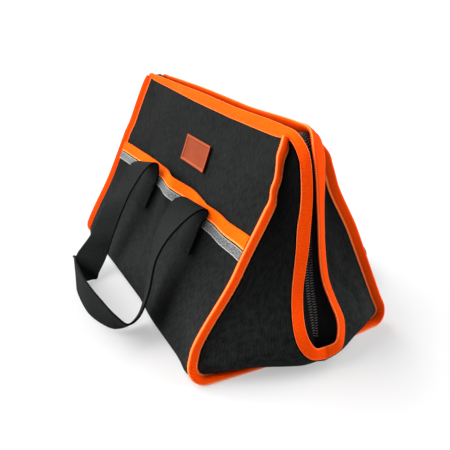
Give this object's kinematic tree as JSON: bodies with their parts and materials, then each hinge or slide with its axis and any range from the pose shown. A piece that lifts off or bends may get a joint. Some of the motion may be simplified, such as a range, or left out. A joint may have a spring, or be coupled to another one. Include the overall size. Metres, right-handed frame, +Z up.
{
  "type": "tool bag",
  "caption": "Soft tent-shaped tool bag of black cloth with orange bound seams, a zip over the ridge and down both ends, a front pocket and webbing loop handles.",
  "frame": {"origin": "middle of the base, on the surface it stands on", "axes": "+X along the ridge towards the right end, -Y towards the front with the pocket, +Z up"},
  "size_m": [0.4244, 0.32, 0.2122],
  "materials": {
    "bag_cloth": "matte coated weave",
    "binding_tape": "ribbed tape",
    "zip_tape": "fine woven",
    "zip_coil": "satin",
    "zip_slider": "satin black",
    "reflective_tape": "reflective tape",
    "label": "soft moulded patch",
    "webbing": "woven webbing"
  },
  "bodies": {
    "root": {"body_wrap": "bag_cloth", "end_gusset_right": "bag_cloth", "end_gusset_left": "bag_cloth", "front_pocket": "bag_cloth", "end_binding_right": "binding_tape", "end_binding_left": "binding_tape", "zip_binding": "binding_tape", "pocket_binding": "binding_tape", "zip_tape_front": "zip_tape", "zip_tape_back": "zip_tape", "zip_chain": "zip_coil", "zip_slider": "zip_slider", "reflective_strip": "reflective_tape", "label_patch": "label", "handle_front": "webbing", "handle_back": "webbing"}
  },
  "joints": []
}
